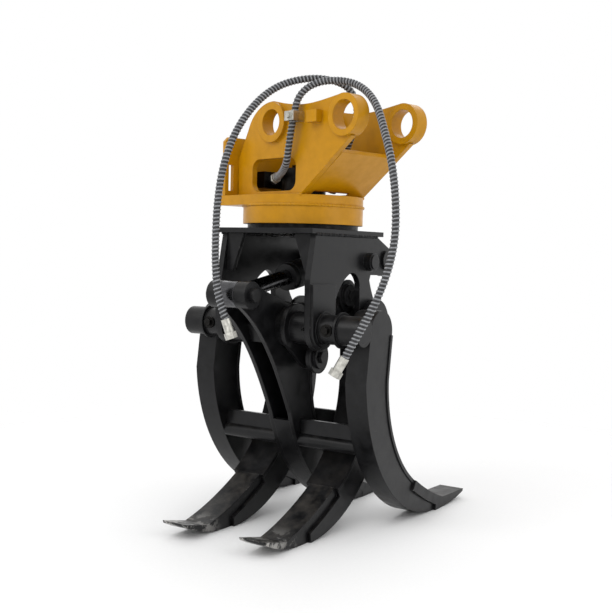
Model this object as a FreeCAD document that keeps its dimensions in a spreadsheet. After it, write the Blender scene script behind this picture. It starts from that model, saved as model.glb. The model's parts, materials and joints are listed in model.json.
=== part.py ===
"""Log grapple: excavator hitch, slewing head, three-tine and two-tine jaws, one cylinder.

Lengths in mm. The model is laid out about the slew axis, with the ground at height 0, and is
then placed so that the origin is the centre of the stick-pin bore in the hitch. X is the way
the jaws open, Y runs along the jaw pivots, Z is up. The hitch is slewed by hitch_yaw.
"""
import FreeCAD, Part
import math
import os

V = FreeCAD.Vector
doc = FreeCAD.newDocument("log_grapple")
sheet = doc.addObject("Spreadsheet::Sheet", "Dims")
D = {}


def dims(**values):
    """Write each size once into the sheet, under its own name."""
    for name, value in values.items():
        D[name] = float(value)
        row = str(len(D))
        sheet.set("A" + row, name)
        sheet.set("B" + row, repr(float(value)))
        sheet.setAlias("B" + row, name)


# heights above the ground, and general
dims(pivot_z=536, pivot_x=125, hitch_yaw=-14, run_gap=0.05, face_gap=0.3, flat_gap=1.0)
# head: top plate, side plates, slew bearing
dims(top_plate_z=778, top_plate_t=13, top_plate_x=184, top_plate_y=150, top_bore_r=60,
     side_face_y=147, side_plate_t=16, lug_r=57, bearing_bolt_r=118, bearing_bolt_count=12,
     bolt_af=17, bolt_head_h=6.4, lower_ring_t=13, lower_ring_r=150, ring_bore_r=95,
     inner_race_r=125, inner_race_h=36, arch_apex_x=15, arch_apex_z=678,
     ear_x=207, ear_z=713, ear_r=38, base_pin_r=20, base_pin_head_t=8,
     boss_x=104, boss_z=708, boss_r=25, boss_len=21, boss_cap_r=20, boss_cap_t=4,
     doubler_t=8, doubler_top_z=650, gusset_w=52, gusset_foot=16, gusset_t=12,
     gusset_foot_z=678, gusset_x=160)
# pivots
dims(shaft_r=30, bush_r=36, bush_flange_r=45, bush_flange_t=2.5, hub_r=50, outer_tube_r=38,
     washer_r=46, lock_bolt_r=9, lock_bolt_h=10, lock_washer_r=16, lock_washer_t=4)
# jaws: arch centres, radii and sections
dims(r_arch_x=345, r_in=340, r_in_toe=373, r_out_top=455, r_out_toe=402,
     l_arch_x=225, l_in=322, l_in_toe=355, l_out_top=432, l_out_toe=393,
     wall=12, cover_t=10, cover_lip=3, toe_w=76, toe_t=29, toe_start=239.5, web_end=264,
     outer_tine_y=242.5, outer_tine_w=61, centre_tine_w=74, l_tine_y=121, l_tine_w=94,
     dome_z=586, r_tip_x=493, r_tip_z=27, l_tip_x=372, l_tip_z=44, tip_t=7,
     neck_in_x=20, neck_in_z=520, neck_out_x=-92, dome_x=-37, heel_x=-204, heel_z=487,
     hub_crown_r=60, crown_r=70, l_neck_in=30, l_neck_z=470, rim_t=4, collar_t=6, shaft_cap_t=6,
     bar_r=19, bar_z=226, bar_inset=20, cross_t=12, cross_high=282)
# lever eye and cylinder
dims(eye_x=-305, eye_z=622, eye_r=34.5, eye_boss_y=59, rod_pin_r=14, rod_pin_cap=17.5,
     rod_pin_cap_t=14, eye_play=12, rod_r=20, rod_eye_w=48, barrel_r=38, bore_r=32,
     barrel_len=270, gland_t=18, gland_r=36, base_eye_r=36, base_eye_w=80, base_wall=24,
     piston_t=30, piston_at=245)
# sync link
dims(sync_r=96, sync_angle=55, sync_plate_r=34, sync_plate_y=74, sync_plate_t=12,
     sync_pin_r=14, sync_link_t=12, sync_bar_r=15, sync_small_r=27, sync_play=16, sync_eye_r=40, sync_link_gap=16,
     sync_hub_r=42, sync_disc_r=44,
     sync_disc_t=6, sync_cap_r=31, sync_cap_t=8, sync_bolt_t=7)
# hitch
dims(ring_r=162.5, ring_z=804, ring_h=48.5, base_t=26.5, tab_x=160, tab_y=165, cheek_out=115,
     cheek_t=16, stick_y=-270, stick_z=1066, stick_r=36.15, link_y=-3, link_z=1068,
     link_r=33.8, boss_ring_r=52, boss_out=126, boss_in=88, cheek_end_r=58, cheek_rear_y=138,
     plate_t=12, rear_x=160, rear_z=1037, manifold_r=60, manifold_h=76, motor_r=26,
     motor_h=95, motor_x=66, motor_y=84)
# hoses
dims(hose_r=9.5, ferrule_r=11.5, ferrule_len=34, nut_af=27, nut_len=16, fitting_len=30,
     fitting_r=12, port_boss_r=17, clamp_h=24, clamp_gap_x=12, clamp_gap_y=13, clamp_wall=4)
doc.recompute()

PIVOT_R = (-D["pivot_x"], D["pivot_z"])
PIVOT_L = (D["pivot_x"], D["pivot_z"])
yaw = math.radians(D["hitch_yaw"])


def to_head(x, y, z):
    """A point of the hitch's own frame, seen in the head's frame."""
    return V(x * math.cos(yaw) - y * math.sin(yaw), x * math.sin(yaw) + y * math.cos(yaw), z)


origin = to_head(0, D["stick_y"], D["stick_z"])
HEAD = FreeCAD.Placement(V(0, 0, 0) - origin, FreeCAD.Rotation())
HITCH = FreeCAD.Placement(V(0, 0, 0) - origin, FreeCAD.Rotation(V(0, 0, 1), D["hitch_yaw"]))
nodes = {}


def at(x, y, z, axis=None):
    """A placement at a point, its Z along an axis."""
    turn = FreeCAD.Rotation(V(0, 0, 1), axis) if axis else FreeCAD.Rotation()
    return FreeCAD.Placement(V(x, y, z), turn)


def keep(node, obj, label):
    nodes[node] = obj
    obj.Label = label
    return obj


# ---------------------------------------------------------------- sketch outlines
def poly(*points):
    """Closed straight-sided outline."""
    return [("line", points[i], points[(i + 1) % len(points)]) for i in range(len(points))]


def chain(*steps):
    """Closed outline: points joined by lines, ("arc", mid, end) and ("curve", [points])."""
    out, here, first = [], steps[0], steps[0]
    for step in steps[1:] + (first,):
        if step[0] == "arc":
            out.append(("arc", here, step[1], step[2]))
            here = step[2]
        elif step[0] == "curve":
            out.append(("curve", [here] + list(step[1])))
            here = step[1][-1]
        else:
            if math.dist(here, step) > 1e-6:
                out.append(("line", here, step))
            here = step
    return out


def disc(centre, radius):
    return [("circle", centre, radius)]


def ngon(centre, across, sides=6, turn=0.0):
    r = across / 2 / math.cos(math.pi / sides)
    return poly(*[(centre[0] + r * math.cos(turn + 2 * math.pi * k / sides),
                   centre[1] + r * math.sin(turn + 2 * math.pi * k / sides))
                  for k in range(sides)])


def geometry(outline):
    out = []
    for part in outline:
        if part[0] == "line":
            out.append(Part.LineSegment(V(*part[1], 0), V(*part[2], 0)))
        elif part[0] == "arc":
            out.append(Part.Arc(V(*part[1], 0), V(*part[2], 0), V(*part[3], 0)))
        elif part[0] == "circle":
            out.append(Part.Circle(V(*part[1], 0), V(0, 0, 1), part[2]))
        else:
            curve = Part.BSplineCurve()
            curve.interpolate([V(*p, 0) for p in part[1]])
            out.append(curve)
    return out


NORMAL = {"XY": V(0, 0, 1), "XZ": V(0, -1, 0), "YZ": V(1, 0, 0)}


def body(node, label, plane, place, *features):
    """A PartDesign body: each feature is (kind, outline, start along the normal, length)."""
    b = doc.addObject("PartDesign::Body", node)
    origin_plane = next(f for f in b.Origin.OriginFeatures if f.Role == plane + "_Plane")
    for k, (kind, outline, start, length) in enumerate(features):
        sk = b.newObject("Sketcher::SketchObject", "%s_sketch_%d" % (node, k))
        sk.AttachmentSupport = [(origin_plane, "")]
        sk.MapMode = "FlatFace"
        sk.AttachmentOffset = at(0, 0, start)
        for g in geometry(outline):
            sk.addGeometry(g, False)
        if kind == "pad":
            f = b.newObject("PartDesign::Pad", "%s_pad_%d" % (node, k))
        else:
            f = b.newObject("PartDesign::Pocket", "%s_cut_%d" % (node, k))
            f.Reversed = True
        f.Profile = sk
        if isinstance(length, str):
            f.setExpression("Length", length)
        else:
            f.Length = length
        sk.Visibility = False
        doc.recompute()
    b.Placement = place
    return keep(node, b, label)


def cyl(name, radius, height, place):
    c = doc.addObject("Part::Cylinder", name)
    for prop, value in (("Radius", radius), ("Height", height)):
        if isinstance(value, str):
            c.setExpression(prop, value)
        else:
            setattr(c, prop, value)
    c.Placement = place
    return c


def tube(node, label, r_out, r_in, height, place):
    """A round piece; with a bore when r_in is given."""
    outer = cyl(node + "_outer", r_out, height, place)
    if not r_in:
        return keep(node, outer, label)
    cut = doc.addObject("Part::Cut", node + "_bored")
    cut.Base = outer
    cut.Tool = cyl(node + "_bore", r_in, height, place)
    return keep(node, cut, label)


def feature(node, label, shape, place=HEAD):
    f = doc.addObject("Part::Feature", node)
    f.Shape = shape
    f.Placement = place
    return keep(node, f, label)


def weld(node, label, *names):
    """Join pieces that are welded into one solid."""
    f = doc.addObject("Part::MultiFuse", node + "_weld")
    f.Shapes = [nodes.pop(n) for n in names]
    f.Refine = True
    return keep(node, f, label)


def rod(a, b, radius):
    """Round bar between two points, as a shape."""
    a, b = V(*a), V(*b)
    return Part.makeCylinder(radius, (b - a).Length, a, b - a)


def hexbar(a, b, across):
    a, b = V(*a), V(*b)
    d = (b - a)
    r = across / 2 / math.cos(math.pi / 6)
    turn = FreeCAD.Rotation(V(0, 0, 1), d)
    pts = [a + turn.multVec(V(r * math.cos(k * math.pi / 3), r * math.sin(k * math.pi / 3), 0))
           for k in range(7)]
    return Part.Face(Part.makePolygon(pts)).extrude(d)


# ---------------------------------------------------------------- jaws: shared outlines
def outer_radius(side, a):
    top, toe = D[side + "_out_top"], D[side + "_out_toe"]
    return top + (toe - top) * (a - 180) / 90.0


def inner_radius(side, a):
    r, toe = D[side + "_in"], D[side + "_in_toe"]
    return r + (toe - r) * max(0.0, (a - 240) / 31.0) ** 2


def arch_z(side):
    """Arch centre height that lets the outer curve just touch the ground."""
    return max(outer_radius(side, a / 10) * -math.sin(math.radians(a / 10))
               for a in range(2400, 2800))


def on_arch(side, radius, a):
    """Point of the jaw's side view; the left jaw is the mirror image of the right one."""
    x = D[side + "_arch_x"] + radius * math.cos(math.radians(a))
    z = arch_z(side) + radius * math.sin(math.radians(a))
    return (x if side == "r" else -x, z)


def run(side, radius_at, a0, a1, offset=0.0, n=8):
    return [on_arch(side, radius_at(side, a) + offset, a)
            for a in [a0 + (a1 - a0) * k / n for k in range(n + 1)]]


def flip(side, *points):
    return [(x if side == "r" else -x, z) for x, z in points]


def channel(side, head_points, head_inner, a_top=180.0):
    """Tine web in side view: the neck points, then down the outer curve and back up."""
    up = run(side, inner_radius, D["web_end"], D["toe_start"], D["toe_t"], 5)
    up2 = run(side, inner_radius, D["toe_start"], a_top, D["cover_t"], 7)
    down = run(side, outer_radius, a_top, D["web_end"], 0.0, 8)
    return chain(down[0], ("curve", down[1:]), up[0], ("curve", up[1:]), up2[0],
                 ("curve", up2[1:]), *(head_inner + head_points))


def hollow(side, a_low, a_high, over=30.0):
    """The room between the side walls, open on the cover's side."""
    down = run(side, outer_radius, a_high, a_low, -D["wall"], 7)
    back = run(side, inner_radius, a_low, a_high, -over, 7)
    return chain(down[0], ("curve", down[1:]), back[0], ("curve", back[1:]))


def cover(side, a_top, neck):
    down = run(side, inner_radius, a_top, D["toe_start"], 0.0, 7)
    back = run(side, inner_radius, D["toe_start"], a_top, D["cover_t"], 7)
    return chain(down[0], ("curve", down[1:]), back[0], ("curve", back[1:]), *neck)


def toe(side, a_flat, a_heel):
    """Wear toe: it lies on the web, then carries on alone to the tip."""
    top = run(side, inner_radius, D["toe_start"], a_flat, 0.0, 6)
    sgn = 1 if side == "r" else -1
    tip = (sgn * D[side + "_tip_x"], D[side + "_tip_z"])
    under = run(side, outer_radius, a_heel, D["web_end"], 0.0, 4)
    back = run(side, inner_radius, D["web_end"], D["toe_start"], D["toe_t"], 5)
    low = (tip[0] - sgn * 3, tip[1] - D["tip_t"])
    mid = ((under[0][0] * 0.45 + low[0] * 0.55), under[0][1] + (low[1] - under[0][1]) * 0.3)
    return chain(top[0], ("curve", top[1:]), tip, low, ("curve", [mid, under[0]]),
                 ("curve", under[1:]), back[0], ("curve", back[1:]))


def y_start(y_high):
    """Distance along the XZ plane's normal (-Y) of a face at y_high."""
    return -y_high


# ---------------------------------------------------------------- right jaw (three tines)
NEAR_FAR = (("near", -1), ("far", 1))
neck_in = (D["neck_in_x"], D["neck_in_z"])
neck_seat = (D["neck_in_x"] - D["cover_t"], D["neck_in_z"])
cover_neck = [neck_seat, neck_in]
dome = [neck_seat, neck_in, ("arc", (D["dome_x"], D["dome_z"]), (D["neck_out_x"], D["pivot_z"]))]
wall_pocket = "Dims.outer_tine_w - 2 * Dims.wall"
shaft_bore = D["shaft_r"] + D["run_gap"]
for side_name, sy in NEAR_FAR:
    y_mid = sy * D["outer_tine_y"]
    hi = y_mid + D["outer_tine_w"] / 2
    body(side_name + "_tine_channel", side_name + " outer tine channel, right jaw", "XZ", HEAD,
         ("pad", channel("r", [], dome), y_start(hi), "Dims.outer_tine_w"),
         ("cut", hollow("r", 258, 181), y_start(hi - D["wall"]), wall_pocket),
         ("cut", disc(PIVOT_R, D["outer_tube_r"] + D["run_gap"]), y_start(hi),
          "Dims.outer_tine_w"))
    body(side_name + "_tine_cover", side_name + " outer tine concave cover plate", "XZ", HEAD,
         ("pad", cover("r", 180, cover_neck), y_start(hi + D["cover_lip"]),
          "Dims.outer_tine_w + 2 * Dims.cover_lip"))
    body(side_name + "_tine_toe", side_name + " outer tine wear toe", "XZ", HEAD,
         ("pad", toe("r", 271, 270), y_start(y_mid + D["toe_w"] / 2), "Dims.toe_w"))

# centre tine: two arm plates that carry the lever eye, and what closes them below
EYE = (D["eye_x"], D["eye_z"])
line = math.atan2(PIVOT_R[1] - EYE[1], PIVOT_R[0] - EYE[0])
lean = math.asin((D["hub_crown_r"] - D["eye_r"]) / math.dist(EYE, PIVOT_R))
up_angle, low_angle = line + math.pi / 2 + lean, line - math.pi / 2 - 0.15


def around(centre, radius, angle):
    return (centre[0] + radius * math.cos(angle), centre[1] + radius * math.sin(angle))


arm_down = run("r", outer_radius, 193, D["web_end"], 0.0, 8)
arm_up = run("r", inner_radius, D["web_end"], D["toe_start"], D["toe_t"], 5)
arm_up2 = run("r", inner_radius, D["toe_start"], 181, D["cover_t"], 7)
arm_outline = chain(
    around(EYE, D["eye_r"], low_angle),
    ("curve", [(D["heel_x"], D["heel_z"]), (D["heel_x"] + 71, D["heel_z"] - 107), arm_down[0]]),
    ("curve", arm_down[1:]), arm_up[0], ("curve", arm_up[1:]), arm_up2[0],
    ("curve", arm_up2[1:]), (1.0, 481.0), (11.0, 481.0), (11.0, 500.0),
    ("arc", (-42.0, 566.0), around(PIVOT_R, D["hub_crown_r"], up_angle)),
    around(EYE, D["eye_r"], up_angle),
    ("arc", around(EYE, D["eye_r"], line + math.pi), around(EYE, D["eye_r"], low_angle)))
half = D["centre_tine_w"] / 2
for side_name, sy in NEAR_FAR:
    hi = half if sy > 0 else -half + D["wall"]
    body(side_name + "_arm_plate", side_name + " arm plate of the centre tine", "XZ", HEAD,
         ("pad", arm_outline, y_start(hi), "Dims.wall"),
         ("cut", disc(PIVOT_R, D["hub_r"] + D["run_gap"]), y_start(hi), "Dims.wall"),
         ("cut", disc(EYE, D["rod_pin_r"] + D["run_gap"]), y_start(hi), "Dims.wall"))
    y0 = half if sy > 0 else -D["eye_boss_y"]
    tube(side_name + "_eye_boss", side_name + " boss of the lever eye", "Dims.eye_r",
         "Dims.rod_pin_r + Dims.run_gap", "Dims.eye_boss_y - Dims.centre_tine_w / 2",
         HEAD * at(EYE[0], y0 + D["eye_boss_y"] - half, EYE[1], V(0, -1, 0)))
    weld(side_name + "_arm_plate", side_name + " arm plate of the centre tine with its eye boss",
         side_name + "_arm_plate", side_name + "_eye_boss")
inner_w = "Dims.centre_tine_w - 2 * Dims.wall"
y_in = half - D["wall"]
back = run("r", outer_radius, 196, D["web_end"], 0.0, 8)
back_in = run("r", outer_radius, D["web_end"], 196, -D["wall"], 8)
body("centre_back_plate", "Back cover of the centre tine", "XZ", HEAD,
     ("pad", chain(back[0], ("curve", back[1:]), back_in[0], ("curve", back_in[1:])),
      y_start(y_in), inner_w))
body("arm_web_plate", "Cross plate between the arm plates", "XZ", HEAD,
     ("pad", poly((-214, 545), (-202, 545), (-182, 497), (-194, 497)), y_start(y_in), inner_w))
weld("near_arm_plate", "near arm plate of the centre tine with its eye boss and the web plate",
     "near_arm_plate", "arm_web_plate")
body("centre_cover", "Concave cover plate of the centre tine", "XZ", HEAD,
     ("pad", cover("r", 181, [(1.0, 480.5), (11.0, 480.5)]), y_start(half + D["cover_lip"]),
      "Dims.centre_tine_w + 2 * Dims.cover_lip"))
body("centre_toe", "Centre tine wear toe", "XZ", HEAD,
     ("pad", toe("r", 271, 270), y_start(D["toe_w"] / 2), "Dims.toe_w"))


def along_y(x, y_high, z):
    """Placement of a round piece that runs from y_high towards -Y."""
    return HEAD * at(x, y_high, z, V(0, -1, 0))


leg_in = D["side_face_y"] - D["side_plate_t"]
hub_half = leg_in - D["bush_flange_t"] - D["face_gap"]
lever_out = D["sync_plate_y"]
body("right_hub", "Hub tube of the right jaw, slimmer where the link passes", "XZ", HEAD,
     ("pad", disc(PIVOT_R, D["hub_r"]), y_start(hub_half), hub_half + lever_out),
     ("pad", disc(PIVOT_R, D["sync_hub_r"]), y_start(-lever_out), hub_half - lever_out),
     ("cut", disc(PIVOT_R, shaft_bore), y_start(hub_half), 2 * hub_half))
tine_far = D["outer_tine_y"] + D["outer_tine_w"] / 2
tube("right_pivot_shaft", "Pivot shaft of the right jaw", "Dims.shaft_r", None,
     "2 * Dims.outer_tine_y + Dims.outer_tine_w", along_y(PIVOT_R[0], tine_far, PIVOT_R[1]))
doubler_face = D["side_face_y"] + D["doubler_t"]
washer_in = doubler_face + D["face_gap"]
tube_in = washer_in + D["rim_t"]
for side_name, sy in NEAR_FAR:
    far_end, near_end = (tine_far, tube_in) if sy > 0 else (-tube_in, -tine_far)
    tube(side_name + "_pivot_tube", side_name + " outer pivot tube", "Dims.outer_tube_r",
         "Dims.shaft_r + Dims.run_gap", far_end - near_end,
         along_y(PIVOT_R[0], far_end, PIVOT_R[1]))
    w_hi = tube_in if sy > 0 else -washer_in
    tube(side_name + "_boss_rim", side_name + " rim ring of the pivot tube", "Dims.washer_r",
         "Dims.shaft_r + Dims.run_gap", "Dims.rim_t", along_y(PIVOT_R[0], w_hi, PIVOT_R[1]))
    c_mid = sy * (D["outer_tine_y"] - D["outer_tine_w"] / 2)
    c_hi = c_mid if sy > 0 else c_mid + D["collar_t"]
    tube(side_name + "_collar", side_name + " collar at the outer tine", "Dims.washer_r",
         "Dims.outer_tube_r", "Dims.collar_t", along_y(PIVOT_R[0], c_hi, PIVOT_R[1]))
    weld(side_name + "_pivot_tube", side_name + " outer pivot tube with its rim and collar",
         side_name + "_pivot_tube", side_name + "_boss_rim", side_name + "_collar")

# cross members of the right jaw, from the centre tine to each outer tine
tine_side = D["outer_tine_y"] - D["outer_tine_w"] / 2


def back_x(side, z):
    """How far the outer curve lies from the slew axis at a height."""
    a = 180.0
    while on_arch(side, outer_radius(side, a), a)[1] > z:
        a += 0.1
    return on_arch(side, outer_radius(side, a), a)[0]


bar_x = back_x("r", D["bar_z"]) + D["bar_inset"]
plate_x = bar_x - D["cross_t"] / 2
for side_name, sy in NEAR_FAR:
    y_hi = tine_side if sy > 0 else -half
    length = "Dims.outer_tine_y - Dims.outer_tine_w / 2 - Dims.centre_tine_w / 2"
    tube(side_name + "_round_bar", side_name + " round cross bar, right jaw", "Dims.bar_r",
         None, length, along_y(bar_x, y_hi, D["bar_z"]))
    body(side_name + "_cross_plate", side_name + " flat cross plate, right jaw", "XZ", HEAD,
         ("pad", poly((plate_x, D["bar_z"]), (plate_x + D["cross_t"], D["bar_z"]),
                      (plate_x + D["cross_t"], D["cross_high"]), (plate_x, D["cross_high"])),
          y_start(y_hi), length))
    weld(side_name + "_cross_member", side_name + " cross member of the right jaw",
         side_name + "_round_bar", side_name + "_cross_plate")

# ---------------------------------------------------------------- left jaw (two tines)
l_top = D["pivot_x"] + D["crown_r"]
crown_low = around(PIVOT_L, D["crown_r"], math.radians(-35))
l_neck_in = (D["pivot_x"] - D["l_neck_in"], D["l_neck_z"])
l_neck_seat = (l_neck_in[0] + D["cover_t"], l_neck_in[1])
crown = [l_neck_seat, ("arc", around(PIVOT_L, D["crown_r"], math.radians(215)),
                       around(PIVOT_L, D["crown_r"], math.radians(180))),
         ("arc", around(PIVOT_L, D["crown_r"], math.radians(90)),
          around(PIVOT_L, D["crown_r"], 0.0))]


def slot_above():
    """Room for the head's leg: everything between the side walls above the neck."""
    z0, w = D["l_neck_z"] - 4, 2 * D["crown_r"]
    return poly((D["pivot_x"] - w, z0), (D["pivot_x"] + w, z0), (D["pivot_x"] + w, z0 + w * 2),
                (D["pivot_x"] - w, z0 + w * 2))


l_pocket = "Dims.l_tine_w - 2 * Dims.wall"
for side_name, sy in NEAR_FAR:
    y_mid = sy * D["l_tine_y"]
    hi = y_mid + D["l_tine_w"] / 2
    fork = body(side_name + "_fork_channel", side_name + " tine channel of the left jaw", "XZ",
                HEAD,
                ("pad", channel("l", [], crown), y_start(hi), "Dims.l_tine_w"),
                ("cut", hollow("l", 258, 178), y_start(hi - D["wall"]), l_pocket),
                ("cut", slot_above(), y_start(hi - D["wall"]), l_pocket),
                ("cut", disc(PIVOT_L, D["shaft_r"] + D["run_gap"]), y_start(hi),
                 "Dims.l_tine_w"))
    body(side_name + "_fork_cover", side_name + " concave cover plate, left jaw", "XZ", HEAD,
         ("pad", cover("l", 180, [l_neck_seat, l_neck_in]), y_start(hi + D["cover_lip"]),
          "Dims.l_tine_w + 2 * Dims.cover_lip"))
    body(side_name + "_fork_toe", side_name + " wear toe of the left jaw", "XZ", HEAD,
         ("pad", toe("l", 279, 270), y_start(y_mid + D["toe_w"] / 2), "Dims.toe_w"))
fork_in = D["l_tine_y"] - D["l_tine_w"] / 2
fork_out = D["l_tine_y"] + D["l_tine_w"] / 2
wall_in, wall_out = fork_in + D["wall"], fork_out - D["wall"]
tube("left_hub", "Hub tube of the left jaw", "Dims.hub_r", "Dims.shaft_r + Dims.run_gap",
     2 * fork_in, along_y(PIVOT_L[0], fork_in, PIVOT_L[1]))
for side_name, sy in NEAR_FAR:
    tube(side_name + "_fork_boss", side_name + " inner boss of the left jaw", "Dims.hub_r",
         "Dims.shaft_r + Dims.run_gap", hub_half - wall_in,
         along_y(PIVOT_L[0], hub_half if sy > 0 else -wall_in, PIVOT_L[1]))
    tube(side_name + "_fork_washer", side_name + " outer thrust ring of the left jaw",
         "Dims.washer_r", "Dims.shaft_r + Dims.run_gap",
         wall_out - D["side_face_y"] - D["face_gap"],
         along_y(PIVOT_L[0], wall_out if sy > 0 else -D["side_face_y"] - D["face_gap"],
                 PIVOT_L[1]))
    weld(side_name + "_fork_channel", side_name + " tine channel of the left jaw with its bosses",
         side_name + "_fork_channel", side_name + "_fork_boss", side_name + "_fork_washer")
shaft_l_end = fork_out + D["shaft_cap_t"]
feature("left_pivot_shaft", "Pivot shaft of the left jaw, with its end caps",
        rod((PIVOT_L[0], -fork_out, PIVOT_L[1]), (PIVOT_L[0], fork_out, PIVOT_L[1]),
            D["shaft_r"]).fuse([
                rod((PIVOT_L[0], s * fork_out, PIVOT_L[1]),
                    (PIVOT_L[0], s * shaft_l_end, PIVOT_L[1]), D["shaft_r"] + 8)
                for s in (-1, 1)]).removeSplitter())
l_bar_x = back_x("l", D["bar_z"]) - D["bar_inset"]
l_plate_x = l_bar_x + D["cross_t"] / 2
tube("left_round_bar", "Round cross bar of the left jaw", "Dims.bar_r", None, 2 * fork_in,
     along_y(l_bar_x, fork_in, D["bar_z"]))
body("left_cross_plate", "Flat cross plate of the left jaw", "XZ", HEAD,
     ("pad", poly((l_plate_x - D["cross_t"], D["bar_z"]), (l_plate_x, D["bar_z"]),
                  (l_plate_x, D["cross_high"]), (l_plate_x - D["cross_t"], D["cross_high"])),
      y_start(fork_in), 2 * fork_in))
weld("left_cross_member", "Cross member of the left jaw", "left_round_bar", "left_cross_plate")

# ---------------------------------------------------------------- lever, pins and sync link
gamma = math.radians(D["sync_angle"])
L_PIN = (PIVOT_L[0] - D["sync_r"] * math.cos(gamma), PIVOT_L[1] + D["sync_r"] * math.sin(gamma))
R_PIN = (PIVOT_R[0] + D["sync_r"] * math.cos(gamma), PIVOT_R[1] - D["sync_r"] * math.sin(gamma))
lever_in = D["sync_plate_y"] - D["sync_plate_t"]
link_in = D["sync_plate_y"] + D["sync_link_gap"]
link_out = link_in + D["sync_link_t"]
disc_in = link_out + D["face_gap"]


def bone(a, b, ra, rb):
    """Outline of a lever: two round ends joined by tangents."""
    base = math.atan2(b[1] - a[1], b[0] - a[0])
    off = math.acos((ra - rb) / math.dist(a, b))
    return chain(around(a, ra, base + off), ("arc", around(a, ra, base + math.pi),
                                             around(a, ra, base - off)),
                 around(b, rb, base - off), ("arc", around(b, rb, base),
                                             around(b, rb, base + off)))


for jaw, pivot, pin, hub in (("left", PIVOT_L, L_PIN, D["hub_r"]),
                             ("right", PIVOT_R, R_PIN, D["hub_r"])):
    body(jaw + "_sync_lever", "Lever of the %s jaw for the link" % jaw, "XZ", HEAD,
         ("pad", bone(pivot, pin, hub + D["wall"], D["sync_plate_r"]), y_start(-lever_in),
          "Dims.sync_plate_t"),
         ("cut", disc(pivot, hub), y_start(-lever_in), "Dims.sync_plate_t"),
         ("cut", disc(pin, D["sync_pin_r"] + D["run_gap"]), y_start(-lever_in),
          "Dims.sync_plate_t"))
    weld(jaw + "_hub", "Hub tube of the %s jaw with its lever" % jaw, jaw + "_hub",
         jaw + "_sync_lever")
    stack = [((lever_in, disc_in), D["sync_pin_r"]),
             ((disc_in, disc_in + D["sync_disc_t"]), D["sync_disc_r"]),
             ((disc_in + D["sync_disc_t"], disc_in + D["sync_disc_t"] + D["sync_cap_t"]),
              D["sync_cap_r"])]
    tip = disc_in + D["sync_disc_t"] + D["sync_cap_t"]
    shapes = [rod((pin[0], -a, pin[1]), (pin[0], -b, pin[1]), r) for (a, b), r in stack]
    shapes.append(hexbar((pin[0], -tip, pin[1]), (pin[0], -tip - D["sync_bolt_t"], pin[1]), 30))
    feature(jaw + "_sync_pin", "Link pin of the %s jaw with its cap discs" % jaw,
            shapes[0].fuse(shapes[1:]).removeSplitter())
body("sync_link", "Link that makes the jaws move together", "XZ", HEAD,
     ("pad", bone(R_PIN, L_PIN, D["sync_bar_r"], D["sync_bar_r"] - 0.01), y_start(-link_in),
      "Dims.sync_link_t"),
     ("pad", disc(R_PIN, D["sync_eye_r"]), y_start(-link_in), "Dims.sync_link_t"),
     ("pad", disc(L_PIN, D["sync_small_r"]), y_start(-link_in), "Dims.sync_link_t"),
     ("cut", disc(R_PIN, D["sync_pin_r"] + D["sync_play"]), y_start(-link_in),
      "Dims.sync_link_t"),
     ("cut", disc(L_PIN, D["sync_pin_r"] + D["run_gap"]), y_start(-link_in),
      "Dims.sync_link_t"))

# ---------------------------------------------------------------- cylinder
BASE = (D["ear_x"], D["ear_z"])
dead = math.dist(EYE, BASE)
UX = V((EYE[0] - BASE[0]) / dead, 0, (EYE[1] - BASE[1]) / dead)


def on_rod(distance):
    """Point on the cylinder's line at a distance from its base pin."""
    return V(BASE[0], 0, BASE[1]) + UX * distance


def round_on_rod(r, a, b):
    return Part.makeCylinder(r, b - a, on_rod(a), UX)


def eye_piece(centre, r, width):
    return Part.makeCylinder(r, width, V(centre[0], width / 2, centre[1]), V(0, -1, 0))


barrel_start = D["base_eye_r"] + D["base_wall"] / 2
base_eye = eye_piece(BASE, D["base_eye_r"], D["base_eye_w"]).fuse(
    round_on_rod(D["barrel_r"], 20, barrel_start)).cut(
    eye_piece(BASE, D["base_pin_r"] + D["run_gap"], D["base_eye_w"] + 20)).removeSplitter()
feature("cylinder_base_eye", "Base eye and end cap of the cylinder", base_eye)
tube("cylinder_barrel", "Cylinder barrel", "Dims.barrel_r", "Dims.bore_r",
     D["barrel_len"] - barrel_start,
     HEAD * FreeCAD.Placement(on_rod(barrel_start), FreeCAD.Rotation(V(0, 0, 1), UX)))
tube("cylinder_gland", "Gland nut that guides the rod", "Dims.gland_r",
     "Dims.rod_r + Dims.run_gap", "Dims.gland_t",
     HEAD * FreeCAD.Placement(on_rod(D["barrel_len"]), FreeCAD.Rotation(V(0, 0, 1), UX)))
tube("cylinder_piston", "Piston", "Dims.bore_r - Dims.run_gap", None, "Dims.piston_t",
     HEAD * FreeCAD.Placement(on_rod(D["piston_at"] - D["piston_t"]),
                              FreeCAD.Rotation(V(0, 0, 1), UX)))
rod_shape = round_on_rod(D["rod_r"], D["piston_at"], dead - D["eye_r"] * 0.75).fuse(
    eye_piece(EYE, D["eye_r"], D["rod_eye_w"])).cut(
    eye_piece(EYE, D["rod_pin_r"] + D["eye_play"], D["rod_eye_w"] + 20)).removeSplitter()
feature("cylinder_rod", "Piston rod with its eye", rod_shape)
pin_far = D["eye_boss_y"]
feature("rod_eye_pin", "Pin through the lever eye, with its end caps",
        rod((EYE[0], -pin_far, EYE[1]), (EYE[0], pin_far, EYE[1]), D["rod_pin_r"]).fuse([
            rod((EYE[0], s * pin_far, EYE[1]),
                (EYE[0], s * (pin_far + D["rod_pin_cap_t"]), EYE[1]), D["rod_pin_cap"])
            for s in (-1, 1)]).removeSplitter())

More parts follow.
